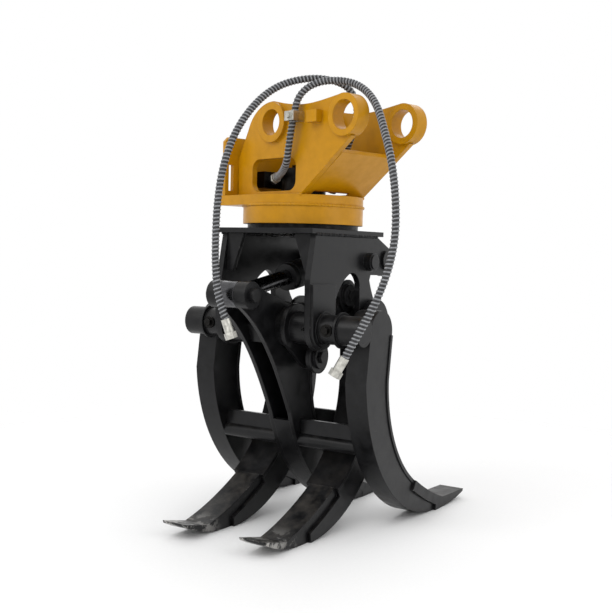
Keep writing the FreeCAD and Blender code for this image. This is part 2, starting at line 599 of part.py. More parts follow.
# ---------------------------------------------------------------- slewing head
side_y = D["side_face_y"]
body("head_top_plate", "Top plate of the head", "XY", HEAD,
     ("pad", poly((-D["top_plate_x"], -D["top_plate_y"]), (D["top_plate_x"], -D["top_plate_y"]),
                  (D["top_plate_x"], D["top_plate_y"]), (-D["top_plate_x"], D["top_plate_y"])),
      D["top_plate_z"], "Dims.top_plate_t"),
     ("cut", disc((0, 0), D["top_bore_r"]), D["top_plate_z"], "Dims.top_plate_t"))
lug = D["lug_r"]
top = D["top_plate_z"]
ear_up = around(BASE, D["ear_r"], math.radians(62))
side_outline = chain(
    (-162, top), (-185, 662), (PIVOT_R[0] - lug, PIVOT_R[1] + 12), (PIVOT_R[0] - lug, PIVOT_R[1]),
    ("arc", (PIVOT_R[0], PIVOT_R[1] - lug), (PIVOT_R[0] + lug, PIVOT_R[1])),
    (PIVOT_R[0] + lug - 1, 575), ("arc", (-48, 628), (D["arch_apex_x"], D["arch_apex_z"])),
    ("arc", (52, 666), (63, 630)), (PIVOT_L[0] - lug, PIVOT_L[1]),
    ("arc", (PIVOT_L[0], PIVOT_L[1] - lug), (PIVOT_L[0] + lug, PIVOT_L[1])),
    (177, 566), ("arc", (139, 611), (116, 658)), (122, 672), (186, 671),
    ("arc", around(BASE, D["ear_r"], math.radians(-25)), ear_up), (151, top))
for side_name, sy in NEAR_FAR:
    hi = side_y if sy > 0 else -side_y + D["side_plate_t"]
    body(side_name + "_side_plate", side_name + " side plate of the head", "XZ", HEAD,
         ("pad", side_outline, y_start(hi), "Dims.side_plate_t"),
         ("cut", disc(PIVOT_R, D["bush_r"] + D["run_gap"]), y_start(hi), "Dims.side_plate_t"),
         ("cut", disc(PIVOT_L, D["bush_r"] + D["run_gap"]), y_start(hi), "Dims.side_plate_t"),
         ("cut", disc(BASE, D["base_pin_r"] + D["run_gap"]), y_start(hi), "Dims.side_plate_t"))
    d_hi = side_y + D["doubler_t"] if sy > 0 else -side_y
    body(side_name + "_doubler", side_name + " doubler plate on the right jaw's leg", "XZ", HEAD,
         ("pad", chain((-182, D["doubler_top_z"]), (PIVOT_R[0] - lug + 4, PIVOT_R[1]),
                       ("arc", (PIVOT_R[0], PIVOT_R[1] - lug + 4),
                        (PIVOT_R[0] + lug - 4, PIVOT_R[1])),
                       (PIVOT_R[0] + lug - 4, 580), (-72, D["doubler_top_z"])),
          y_start(d_hi), "Dims.doubler_t"),
         ("cut", disc(PIVOT_R, shaft_bore + 1), y_start(d_hi), "Dims.doubler_t"))
    g = D["gusset_w"]
    y1, y2, y3 = sy * leg_in, sy * (leg_in - g), sy * (leg_in - D["gusset_foot"])
    body(side_name + "_gusset", side_name + " gusset under the top plate", "YZ", HEAD,
         ("pad", poly((y1, top), (y2, top), (y3, D["gusset_foot_z"]), (y1, D["gusset_foot_z"])),
          -D["gusset_x"], "Dims.gusset_t"))
    b_in, b_out = sy * side_y, sy * (side_y + D["boss_len"])
    stub = rod((D["boss_x"], b_in, D["boss_z"]), (D["boss_x"], b_out, D["boss_z"]), D["boss_r"])
    cap = rod((D["boss_x"], b_out, D["boss_z"]),
              (D["boss_x"], b_out + sy * D["boss_cap_t"], D["boss_z"]), D["boss_cap_r"])
    feature(side_name + "_side_boss", side_name + " pin boss on the side plate",
            stub.fuse(cap).removeSplitter())
    weld(side_name + "_side_plate", side_name + " side plate with doubler, gusset and pin boss",
         *[side_name + part for part in ("_side_plate", "_doubler", "_gusset", "_side_boss")])
bushes = []
for px, pz in (PIVOT_R, PIVOT_L):
    for sy in (-1, 1):
        bush = rod((px, sy * leg_in, pz), (px, sy * side_y, pz), D["bush_r"]).fuse(
            rod((px, sy * (leg_in - D["bush_flange_t"]), pz), (px, sy * leg_in, pz),
                D["bush_flange_r"]))
        bushes.append(bush.cut(rod((px, -200, pz), (px, 200, pz), shaft_bore)).removeSplitter())
feature("pivot_bushes", "Flanged bushes in the four legs", Part.makeCompound(bushes))
pin_y = side_y + D["base_pin_head_t"]
feature("cylinder_base_pin", "Pin of the cylinder's base, with its heads",
        rod((BASE[0], -side_y, BASE[1]), (BASE[0], side_y, BASE[1]), D["base_pin_r"]).fuse([
            rod((BASE[0], s * side_y, BASE[1]), (BASE[0], s * pin_y, BASE[1]),
                D["base_pin_r"] + 7) for s in (-1, 1)]).removeSplitter())
gap_y = D["base_eye_w"] / 2 + D["face_gap"]
feature("base_pin_spacers", "Spacer tubes on the base pin", Part.makeCompound([
    rod((BASE[0], s * gap_y, BASE[1]), (BASE[0], s * leg_in, BASE[1]), D["base_pin_r"] + 7).cut(
        rod((BASE[0], -200, BASE[1]), (BASE[0], 200, BASE[1]), D["base_pin_r"] + D["run_gap"]))
    for s in (-1, 1)]))
ring_low = top + D["top_plate_t"]
race = Part.makeCylinder(D["lower_ring_r"], D["lower_ring_t"] - D["face_gap"], V(0, 0, ring_low))
race = race.fuse(Part.makeCylinder(D["inner_race_r"], D["lower_ring_t"] + D["inner_race_h"],
                                   V(0, 0, ring_low)))
race = race.cut(Part.makeCylinder(D["ring_bore_r"], 100, V(0, 0, ring_low))).removeSplitter()
feature("bearing_inner_ring", "Inner ring of the slew bearing", race)
bolts = []
for k in range(int(D["bearing_bolt_count"])):
    a = 2 * math.pi * (k + 0.5) / D["bearing_bolt_count"]
    bx, by = D["bearing_bolt_r"] * math.cos(a), D["bearing_bolt_r"] * math.sin(a)
    bolts.append(hexbar((bx, by, top - D["bolt_head_h"]), (bx, by, top), D["bolt_af"]))
feature("bearing_bolts", "Heads of the bearing bolts under the top plate",
        Part.makeCompound(bolts))
lock = []
for sy in (-1, 1):
    y = sy * (tube_in + tine_side) / 2
    a = (PIVOT_R[0] - D["outer_tube_r"] + 1, y, PIVOT_R[1])
    lock.append(rod(a, (a[0] - D["lock_washer_t"] - 1, y, a[2]), D["lock_washer_r"]).cut(
        rod((PIVOT_R[0], -400, PIVOT_R[1]), (PIVOT_R[0], 400, PIVOT_R[1]),
            D["outer_tube_r"] + 0.02)).fuse(
        hexbar((a[0] - D["lock_washer_t"] - 1, y, a[2]),
               (a[0] - D["lock_washer_t"] - D["lock_bolt_h"], y, a[2]),
               2 * D["lock_bolt_r"])).removeSplitter())
feature("shaft_lock_bolts", "Bolts that lock the right shaft in its tubes",
        Part.makeCompound(lock))
nip_y = -(leg_in - 12)
feature("grease_nipple", "Grease nipple on the right hub",
        rod((PIVOT_R[0] - D["sync_hub_r"] + 3, nip_y, PIVOT_R[1]),
            (PIVOT_R[0] - D["sync_hub_r"] - 8, nip_y, PIVOT_R[1]), 5).fuse(
            rod((PIVOT_R[0] - D["sync_hub_r"] - 8, nip_y, PIVOT_R[1]),
                (PIVOT_R[0] - D["sync_hub_r"] - 16, nip_y, PIVOT_R[1]), 3)))
weld("right_hub", "Hub tube of the right jaw with its lever and grease nipple", "right_hub",
     "grease_nipple")

# ---------------------------------------------------------------- hitch
ring_top = D["ring_z"] + D["ring_h"]
deck = ring_top + D["base_t"]
tube("turntable_ring", "Outer ring of the slew bearing", "Dims.ring_r",
     "Dims.inner_race_r + Dims.face_gap", "Dims.ring_h", HITCH * at(0, 0, D["ring_z"]))
tab_x, tab_y = D["tab_x"], D["tab_y"]
body("hitch_base_plate", "Base plate of the hitch", "XY", HITCH,
     ("pad", chain((-tab_x, tab_y), (-D["ring_r"], 0), ("arc", (0, -D["ring_r"]),
                   (D["ring_r"], 0)), (tab_x, tab_y)), ring_top, "Dims.base_t"),
     ("cut", disc((0, 0), D["ring_bore_r"] - 45), ring_top, "Dims.base_t"))
stick, link = (D["stick_y"], D["stick_z"]), (D["link_y"], D["link_z"])
er = D["cheek_end_r"]
cheek = chain((D["cheek_rear_y"], deck), (D["cheek_rear_y"] + 3, 978), (101, 1056),
              ("arc", (62, 1106), (link[0], link[1] + er - 2)),
              ("curve", [(-60, 1112), (-130, 1106), (-200, 1112),
                         around(stick, er, math.radians(100))]),
              ("arc", around(stick, er, math.radians(40)), around(stick, er, math.radians(-38))),
              (-290, 1015), (-206, 950), (-113, deck))
wx0, wx1, wz0, wz1, wr = -93, 80, 889, 975, 26
q = wr * (1 - math.sqrt(0.5))
window = chain((wx0 + wr, wz0), (wx1 - wr, wz0), ("arc", (wx1 - q, wz0 + q), (wx1, wz0 + wr)),
               (wx1, wz1 - wr), ("arc", (wx1 - q, wz1 - q), (wx1 - wr, wz1)), (wx0 + wr, wz1),
               ("arc", (wx0 + q, wz1 - q), (wx0, wz1 - wr)), (wx0, wz0 + wr),
               ("arc", (wx0 + q, wz0 + q), (wx0 + wr, wz0)))
for side_name, sx in (("near", -1), ("far", 1)):
    low = -D["cheek_out"] if sx < 0 else D["cheek_out"] - D["cheek_t"]
    ring_lo, ring_hi = (-D["boss_out"], -D["boss_in"]) if sx < 0 else (D["boss_in"], D["boss_out"])
    rings = []
    for centre in (stick, link):
        rings.append(("pad", disc(centre, D["boss_ring_r"]), ring_lo, ring_hi - ring_lo))
    body(side_name + "_cheek", side_name + " cheek of the hitch with its pin bosses", "YZ", HITCH,
         ("pad", cheek, low, "Dims.cheek_t"),
         ("cut", window, low, "Dims.cheek_t"), *rings,
         ("cut", disc(stick, D["stick_r"]), ring_lo, ring_hi - ring_lo),
         ("cut", disc(link, D["link_r"]), ring_lo, ring_hi - ring_lo))
inner = D["cheek_out"] - D["cheek_t"]
slope = math.atan2(1015 - deck, -290 + 113)
n_in = (math.sin(slope) * D["plate_t"], -math.cos(slope) * D["plate_t"])
p_low, p_high = (-113, deck), (-244, 978)
front = poly(p_low, p_high, (p_high[0] + n_in[0], p_high[1] + n_in[1]),
             (p_low[0] + n_in[0], deck))
front_body = body("front_cross_plate", "Sloping front plate between the cheeks", "YZ", HITCH,
                  ("pad", front, -inner, 2 * inner),
                  ("cut", poly((-60, deck), (-158, deck + 16), (-175, deck + 16), (-175, deck)),
                   -80, 130))
rz, ry = D["rear_z"], D["cheek_rear_y"] + 3
rear = chain((-D["rear_x"], deck), (D["rear_x"], deck), (D["rear_x"], rz - 12),
             (D["rear_x"] - 12, rz), (-D["rear_x"] + 12, rz), (-D["rear_x"], rz - 12))
slots = []
for sx in (-1, 1):
    x0 = sx * (D["rear_x"] - 20)
    slots.append(("cut", poly((x0 - 8, deck + 14), (x0 + 8, deck + 14), (x0 + 8, deck + 84),
                              (x0 - 8, deck + 84)), -(ry + D["plate_t"]), "Dims.plate_t"))
body("rear_cross_plate", "Rear plate of the hitch", "XZ", HITCH,
     ("pad", rear, -(ry + D["plate_t"]), "Dims.plate_t"), *slots)
by, bz = -169, 1070
body("cheek_block", "Block welded on the near cheek", "YZ", HITCH,
     ("pad", poly((by - 19, bz - 15), (by + 19, bz - 15), (by + 19, bz + 15), (by - 19, bz + 15)),
      -D["cheek_out"] - 22, 22))
weld("near_cheek", "near cheek of the hitch with its pin bosses and welded block", "near_cheek",
     "cheek_block")

# rotary manifold and slew motor inside the hitch
manifold = Part.makeCylinder(D["manifold_r"], D["manifold_h"], V(0, 0, deck))


def toward(a, b, distance):
    a, b = V(*a), V(*b)
    return a + (b - a).normalize() * distance


H2_START, H2_NEXT = (-58, 44, 932), (-122, -62, 940)
H1_START, H1_NEXT = (40, -86, 940), (40, -126, 1010)
port_2 = toward(H2_START, H2_NEXT, -D["fitting_len"])
port_1 = toward(H1_START, H1_NEXT, -D["fitting_len"])
ports = [rod(toward(tuple(port_2), H2_NEXT, -34), port_2, D["port_boss_r"]),
         rod(toward(tuple(port_1), H1_NEXT, -20), port_1, D["port_boss_r"]),
         Part.makeBox(62, 32, 44, V(-72, 80, 904)), Part.makeBox(24, 60, 44, V(-12, 40, 904))]
manifold = manifold.fuse(ports).removeSplitter()
feature("rotary_manifold", "Rotary oil manifold on the slew axis", manifold, HITCH)
tube("slew_motor", "Slew motor", "Dims.motor_r", None, "Dims.motor_h",
     HITCH * at(D["motor_x"], D["motor_y"], deck))
fits = []
for a, b in ((H2_START, H2_NEXT), (H1_START, H1_NEXT)):
    back_pt = toward(a, b, -D["fitting_len"])
    nut_pt = toward(a, b, -D["fitting_len"] + 12)
    fits.append(hexbar(back_pt, nut_pt, D["nut_af"]).fuse(
        rod(nut_pt, a, D["fitting_r"])).removeSplitter())
feature("hose_2_port_fitting", "Fitting of hose two on the manifold", fits[0], HITCH)
feature("hose_1_port_fitting", "Fitting of hose one on the manifold", fits[1], HITCH)
cx, cy, cz = -137.0, -104.0, 1074.0
gx, gy, cw, ch = D["clamp_gap_x"], D["clamp_gap_y"], D["clamp_wall"], D["clamp_h"]
x_seat = -D["cheek_out"]
clamp = Part.makeBox(x_seat - (cx - gx - cw), 2 * gy + 2 * cw, ch,
                     V(cx - gx - cw, cy - gy - cw, cz - ch / 2)).cut(
    Part.makeBox(2 * gx, 2 * gy, ch, V(cx - gx, cy - gy, cz - ch / 2)))
feature("hose_clamp", "Strap clamp on the near cheek", clamp, HITCH)
feature("clamp_bolt", "Bolt of the strap clamp",
        hexbar((cx - gx - cw, cy, cz), (cx - gx - cw - 7, cy, cz), 13), HITCH)
weld("hose_clamp", "Strap clamp on the near cheek with its bolt", "hose_clamp", "clamp_bolt")

# ---------------------------------------------------------------- hoses
def bend_path(points, label):
    """Straight runs joined by tangent arcs through the corner points."""
    pts = [V(*p) for p in points]
    runs = [(b - a).Length for a, b in zip(pts, pts[1:])]
    edges, here, radii = [], pts[0], []
    for k in range(1, len(pts) - 1):
        u = (pts[k - 1] - pts[k]).normalize()
        w = (pts[k + 1] - pts[k]).normalize()
        cut_back = 0.45 * min(runs[k - 1], runs[k])
        half_turn = (math.pi - u.getAngle(w)) / 2
        radius = cut_back / math.tan(half_turn)
        a, b = pts[k] + u * cut_back, pts[k] + w * cut_back
        centre = pts[k] + (u + w).normalize() * (radius / math.cos(half_turn))
        mid = centre + (pts[k] - centre).normalize() * radius
        edges += [Part.LineSegment(here, a).toShape(), Part.Arc(a, mid, b).toShape()]
        here = b
        radii.append(radius)
    edges.append(Part.LineSegment(here, pts[-1]).toShape())
    print(label, "runs", [round(r) for r in runs], "radii", [round(r) for r in radii])
    return Part.Wire(edges)


def hose(node, label, points):
    path = bend_path(points, node)
    start = V(*points[0])
    ring = Part.Wire(Part.makeCircle(D["hose_r"], start, V(*points[1]) - start))
    solid = path.makePipeShell([ring], True, False)
    expected = math.pi * D["hose_r"] ** 2 * path.Length
    print(node, "length", round(path.Length), "volume/section x length",
          round(solid.Volume / expected, 5))
    feature(node, label, solid)


def h(x, y, z):
    p = to_head(x, y, z)
    return (p.x, p.y, p.z)


HOSE_1 = [h(*H1_START), h(*H1_NEXT), (-8, -172, 1092), (-38, -166, 1158), (-88, -108, 1180),
          (-148, -50, 1166), (-205, -20, 1132), (-262, -4, 1078), (-306, 8, 1014),
          (-336, 16, 936), (-352, 19, 848), (-360, 16, 756), (-365, 10, 676), (-362, 2, 616),
          (-353, -14, 564)]
HOSE_2 = [h(*H2_START), h(*H2_NEXT), h(-140, -92, 1002), h(-137, -104, 1074),
          h(-130, -113, 1128), h(-96, -140, 1162), h(-66, -205, 1164), h(-60, -272, 1140),
          h(-76, -335, 1090), h(-96, -380, 1022), h(-116, -424, 948), h(-129, -452, 862),
          (-242, -414, 770), (-251, -402, 690), (-266, -377, 612), (-285, -349, 548),
          (-301, -322, 490)]
hose("hose_1", "Hydraulic hose one", HOSE_1)
hose("hose_2", "Hydraulic hose two", HOSE_2)
for name, route in (("hose_1", HOSE_1), ("hose_2", HOSE_2)):
    end = route[-1]
    a = toward(end, route[-2], -D["ferrule_len"])
    b = toward(end, route[-2], -D["ferrule_len"] - D["nut_len"])
    feature(name + "_end_fitting", "Ferrule and nut at the free end of " + name,
            rod(end, a, D["ferrule_r"]).fuse(hexbar(a, b, D["nut_af"])).removeSplitter())

# ---------------------------------------------------------------- checks and export
doc.recompute()
for obj in doc.Objects:
    if "Invalid" in obj.State or "Error" in obj.State:
        raise RuntimeError("failed object: " + obj.Name)
os.makedirs("parts", exist_ok=True)
for name, obj in nodes.items():
    if obj.Shape.isNull() or not obj.Shape.isValid():
        raise RuntimeError("bad shape: " + name)
    obj.Shape.exportStep("parts/%s.step" % name)
print(len(nodes), "nodes")
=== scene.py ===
"""Log grapple: hoses, paint, wear, weld beads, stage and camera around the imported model."""
import bmesh
import bpy
import json
import math
from mathutils import Vector, Matrix


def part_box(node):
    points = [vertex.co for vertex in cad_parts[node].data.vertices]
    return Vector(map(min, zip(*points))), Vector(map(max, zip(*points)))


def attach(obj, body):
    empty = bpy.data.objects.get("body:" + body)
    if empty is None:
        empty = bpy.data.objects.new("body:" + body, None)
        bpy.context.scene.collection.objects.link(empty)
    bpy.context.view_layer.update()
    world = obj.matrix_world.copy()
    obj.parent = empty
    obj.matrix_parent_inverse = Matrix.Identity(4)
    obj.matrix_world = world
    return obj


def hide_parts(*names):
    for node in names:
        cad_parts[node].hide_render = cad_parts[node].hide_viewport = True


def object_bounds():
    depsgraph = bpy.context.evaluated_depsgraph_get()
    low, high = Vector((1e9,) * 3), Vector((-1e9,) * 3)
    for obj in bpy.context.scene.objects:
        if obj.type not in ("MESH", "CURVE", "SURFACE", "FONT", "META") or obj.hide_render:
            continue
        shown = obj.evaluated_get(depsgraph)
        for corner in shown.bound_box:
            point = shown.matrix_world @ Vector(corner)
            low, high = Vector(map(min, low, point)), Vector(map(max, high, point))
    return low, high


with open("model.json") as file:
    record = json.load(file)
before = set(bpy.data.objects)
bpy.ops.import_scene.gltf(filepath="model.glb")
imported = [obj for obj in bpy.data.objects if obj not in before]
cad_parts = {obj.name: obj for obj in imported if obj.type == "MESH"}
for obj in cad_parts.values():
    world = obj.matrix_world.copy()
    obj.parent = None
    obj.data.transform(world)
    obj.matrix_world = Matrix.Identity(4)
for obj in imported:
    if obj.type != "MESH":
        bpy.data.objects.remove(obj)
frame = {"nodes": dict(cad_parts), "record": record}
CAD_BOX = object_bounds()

bl_info = {
    "name": "Log grapple finish",
    "version": (1, 0, 0),
    "blender": (4, 5, 0),
    "location": "View3D > Sidebar > Grapple",
    "description": "Builds the hoses, welds, paint and stage of a log grapple",
    "category": "Object",
}

MM = 0.001
SLEW_AXIS = (65.3189, 261.9798, -1066.0)   # slew axis at ground level, from the stick pin
HITCH_YAW = math.radians(-14)


def head(x, y, z):
    """Point of the head's layout (mm about the slew axis, ground at 0) in the part's frame."""
    return Vector(((x + SLEW_AXIS[0]) * MM, (y + SLEW_AXIS[1]) * MM, (z + SLEW_AXIS[2]) * MM))


def hitch(x, y, z):
    """Point of the hitch's own layout in the part's frame."""
    c, s = math.cos(HITCH_YAW), math.sin(HITCH_YAW)
    return head(x * c - y * s, x * s + y * c, z)


# ------------------------------------------------------------------ settings
class GrappleSettings(bpy.types.PropertyGroup):
    """Sizes and colours a user may change."""
    yellow: bpy.props.FloatVectorProperty(
        name="Hitch paint", description="Colour of the hitch's enamel", subtype="COLOR",
        size=3, min=0, max=1, default=(0.47, 0.215, 0.0006))
    black: bpy.props.FloatVectorProperty(
        name="Jaw paint", description="Colour of the jaws' and head's paint", subtype="COLOR",
        size=3, min=0, max=1, default=(0.0035, 0.0035, 0.0039))
    wear: bpy.props.FloatProperty(
        name="Edge wear", description="How far the paint has worn off the edges",
        min=0, max=1, default=0.5)
    guard_pitch: bpy.props.FloatProperty(
        name="Guard pitch", description="Distance between turns of the hoses' spiral guard",
        unit="LENGTH", min=0.004, default=0.0095)
    bead_step: bpy.props.FloatProperty(
        name="Weld ripple", description="Distance between ripples of a weld bead",
        unit="LENGTH", min=0.001, default=0.0032)
    bead_size: bpy.props.FloatProperty(
        name="Weld leg", description="Half width of a weld bead", unit="LENGTH",
        min=0.001, default=0.0042)
    floor_size: bpy.props.FloatProperty(
        name="Floor", description="Width of the floor of the stage", unit="LENGTH",
        min=1, default=40.0)


def settings():
    """The values in the panel."""
    return bpy.context.scene.grapple


# ------------------------------------------------------------------ shader groups
def group(name, inputs, outputs):
    """An empty shader group: returns it with its input and output nodes."""
    g = bpy.data.node_groups.new(name, "ShaderNodeTree")
    for label, kind, value in inputs:
        sock = g.interface.new_socket(label, in_out="INPUT", socket_type=kind)
        if value is not None:
            sock.default_value = value
    for label, kind in outputs:
        g.interface.new_socket(label, in_out="OUTPUT", socket_type=kind)
    return g, g.nodes.new("NodeGroupInput"), g.nodes.new("NodeGroupOutput")


class Wire:
    """Short hand for making and linking nodes in one tree."""

    def __init__(self, tree):
        self.t = tree

    def node(self, kind, **props):
        n = self.t.nodes.new("ShaderNode" + kind)
        for key, value in props.items():
            setattr(n, key, value)
        return n

    def put(self, socket, value):
        if isinstance(value, bpy.types.NodeSocket):
            self.t.links.new(value, socket)
        elif value is not None:
            socket.default_value = value

    def math(self, op, a, b=None, clamp=False):
        n = self.node("Math", operation=op, use_clamp=clamp)
        self.put(n.inputs[0], a)
        self.put(n.inputs[1], b)
        return n.outputs[0]

    def span(self, value, a, b, c=0.0, d=1.0):
        n = self.node("MapRange")
        for k, v in enumerate((value, a, b, c, d)):
            self.put(n.inputs[k], v)
        return n.outputs[0]

    def mix(self, fac, a, b, blend="MIX"):
        n = self.node("Mix", data_type="RGBA", blend_type=blend)
        self.put(n.inputs["Factor"], fac)
        self.put(n.inputs[6], a)
        self.put(n.inputs[7], b)
        return n.outputs[2]

    def noise(self, coords, scale, detail=3.0, rough=0.55):
        n = self.node("TexNoise")
        self.put(n.inputs["Vector"], coords)
        for key, value in (("Scale", scale), ("Detail", detail), ("Roughness", rough)):
            self.put(n.inputs[key], value)
        return n.outputs["Fac"]

    def place(self, tree, **values):
        n = self.node("Group", node_tree=tree)
        for key, value in values.items():
            self.put(n.inputs[key.replace("_", " ")], value)
        return n


def make_groups():
    """The effects that several finishes share."""
    out = {}
    f, c = "NodeSocketFloat", "NodeSocketColor"
    g, i, o = group("Edge wear", [("Radius", f, 0.003), ("Patchiness", f, 60.0),
                                  ("Amount", f, 0.5)],
                    [("Mask", f), ("Normal", "NodeSocketVector")])
    w = Wire(g)
    soft = w.node("Bevel", samples=6)
    w.put(soft.inputs["Radius"], i.outputs["Radius"])
    flat = w.node("NewGeometry")
    dot = w.node("VectorMath", operation="DOT_PRODUCT")
    w.put(dot.inputs[0], soft.outputs[0])
    w.put(dot.inputs[1], flat.outputs["Normal"])
    edge = w.span(dot.outputs["Value"], 0.985, 0.80)
    spot = w.noise(w.node("TexCoord").outputs["Object"], i.outputs["Patchiness"], 4.0, 0.65)
    gate = w.span(spot, w.math("SUBTRACT", 0.72, w.math("MULTIPLY", i.outputs["Amount"], 0.3)),
                  0.74)
    w.put(o.inputs["Mask"], w.math("MULTIPLY", edge, gate, True))
    w.put(o.inputs["Normal"], soft.outputs[0])
    out["wear"] = g

    g, i, o = group("Paint skin", [("Fine", f, 420.0), ("Coarse", f, 34.0)],
                    [("Height", f), ("Mottle", f)])
    w = Wire(g)
    obj = w.node("TexCoord").outputs["Object"]
    fine, coarse = w.noise(obj, i.outputs["Fine"], 2.0), w.noise(obj, i.outputs["Coarse"], 5.0)
    w.put(o.inputs["Height"], w.math("ADD", w.math("MULTIPLY", fine, 0.35),
                                     w.math("MULTIPLY", coarse, 0.65)))
    w.put(o.inputs["Mottle"], w.span(coarse, 0.35, 0.68))
    out["skin"] = g

    g, i, o = group("Dust", [("Scale", f, 22.0), ("Amount", f, 0.4)], [("Mask", f)])
    w = Wire(g)
    up = w.node("SeparateXYZ")
    w.put(up.inputs[0], w.node("NewGeometry").outputs["Normal"])
    facing = w.span(up.outputs["Z"], 0.1, 1.0)
    cloud = w.span(w.noise(w.node("TexCoord").outputs["Object"], i.outputs["Scale"], 6.0, 0.65),
                   0.42, 0.75)
    w.put(o.inputs["Mask"], w.math("MULTIPLY", w.math("MULTIPLY", facing, cloud),
                                   i.outputs["Amount"], True))
    out["dust"] = g

    g, i, o = group("Scuffs", [("Scale", f, 30.0), ("Amount", f, 0.5)], [("Mask", f)])
    w = Wire(g)
    obj = w.node("TexCoord").outputs["Object"]
    total = None
    for k, (turn, stretch) in enumerate(((0.5, 14.0), (-0.9, 20.0))):
        m = w.node("Mapping")
        w.put(m.inputs["Vector"], obj)
        m.inputs["Rotation"].default_value = (turn, 0.3 * k, turn * 1.3)
        m.inputs["Scale"].default_value = (1.0, stretch, stretch)
        line = w.span(w.noise(m.outputs[0], i.outputs["Scale"], 2.0, 0.5), 0.70, 0.74)
        total = line if total is None else w.math("MAXIMUM", total, line)
    where = w.span(w.noise(obj, 7.0, 2.0), 0.5, 0.62)
    w.put(o.inputs["Mask"], w.math("MULTIPLY", w.math("MULTIPLY", total, where),
                                   i.outputs["Amount"], True))
    out["scuffs"] = g
    return out


def material(name):
    """A new material with its wires and its Principled shader."""
    m = bpy.data.materials.new(name)
    m.use_nodes = True
    m.node_tree.nodes.clear()
    w = Wire(m.node_tree)
    out = w.node("OutputMaterial")
    shader = w.node("BsdfPrincipled")
    w.put(out.inputs["Surface"], shader.outputs[0])
    return m, w, shader


def rgb(*c):
    """Opaque colour."""
    return (*c, 1.0)


def painted(name, groups, colour, second, rough, wear, metal, dust=0.25, scuff=0.4,
            worn_toe=None, edge_radius=0.0022):
    """Enamel over steel: mottled gloss, worn edges, dust on top and scuffs."""
    m, w, s = material(name)
    skin = w.place(groups["skin"])
    edge = w.place(groups["wear"], Radius=edge_radius, Amount=wear)
    grime = w.place(groups["dust"], Amount=dust)
    marks = w.place(groups["scuffs"], Amount=scuff)
    base = w.mix(skin.outputs["Mottle"], rgb(*colour), rgb(*second))
    base = w.mix(marks.outputs["Mask"], base, rgb(*[min(1, c * 2.2 + 0.03) for c in second]))
    bare = edge.outputs["Mask"]
    if worn_toe:
        # the ground-side toes have rubbed through to the steel
        place = w.node("SeparateXYZ")
        w.put(place.inputs[0], w.node("TexCoord").outputs["Object"])
        near_tip = w.span(place.outputs["X"], *worn_toe)
        patch = w.span(w.noise(w.node("TexCoord").outputs["Object"], 26.0, 8.0, 0.7), 0.50, 0.56)
        bare = w.math("MAXIMUM", bare, w.math("MULTIPLY", near_tip, patch), True)
    base = w.mix(bare, base, rgb(*metal))
    base = w.mix(grime.outputs["Mask"], base, rgb(0.20, 0.18, 0.155))
    w.put(s.inputs["Base Color"], base)
    s.inputs["Specular IOR Level"].default_value = 0.24
    w.put(s.inputs["Metallic"], w.math("MULTIPLY", bare, 0.85))
    gloss = w.span(skin.outputs["Mottle"], 0.0, 1.0, rough - 0.05, rough + 0.10)
    gloss = w.math("ADD", gloss, w.math("MULTIPLY", grime.outputs["Mask"], 0.35), True)
    w.put(s.inputs["Roughness"], gloss)
    bump = w.node("Bump")
    bump.inputs["Strength"].default_value = 0.14
    bump.inputs["Distance"].default_value = 0.0012
    w.put(bump.inputs["Height"], skin.outputs["Height"])
    w.put(bump.inputs["Normal"], edge.outputs["Normal"])
    w.put(s.inputs["Normal"], bump.outputs[0])
    return m


def plain_metal(name, groups, colour, rough, bump_size=0.25, edge_radius=0.0012):
    """Bare or plated steel with a fine grain and darker stains."""
    m, w, s = material(name)
    skin = w.place(groups["skin"], Fine=900.0, Coarse=90.0)
    edge = w.place(groups["wear"], Radius=edge_radius, Amount=0.3)
    base = w.mix(skin.outputs["Mottle"], rgb(*colour), rgb(*[c * 0.55 for c in colour]))
    base = w.mix(edge.outputs["Mask"], base, rgb(*[min(1.0, c * 1.5) for c in colour]))
    w.put(s.inputs["Base Color"], base)
    s.inputs["Metallic"].default_value = 1.0
    w.put(s.inputs["Roughness"], w.span(skin.outputs["Mottle"], 0.0, 1.0, rough, rough + 0.18))
    bump = w.node("Bump")
    bump.inputs["Strength"].default_value = bump_size
    bump.inputs["Distance"].default_value = 0.0006
    w.put(bump.inputs["Height"], skin.outputs["Height"])
    w.put(bump.inputs["Normal"], edge.outputs["Normal"])
    w.put(s.inputs["Normal"], bump.outputs[0])
    return m


def plastic(name, groups, colour, second, rough):
    """Rubber or plastic with a faint bloom."""
    m, w, s = material(name)
    skin = w.place(groups["skin"], Fine=1400.0, Coarse=120.0)
    w.put(s.inputs["Base Color"], w.mix(skin.outputs["Mottle"], rgb(*colour), rgb(*second)))
    w.put(s.inputs["Roughness"], w.span(skin.outputs["Mottle"], 0.0, 1.0, rough, rough + 0.15))
    bump = w.node("Bump")
    bump.inputs["Strength"].default_value = 0.2
    bump.inputs["Distance"].default_value = 0.0004
    w.put(bump.inputs["Height"], skin.outputs["Height"])
    w.put(s.inputs["Normal"], bump.outputs[0])
    return m


FINISH = {}


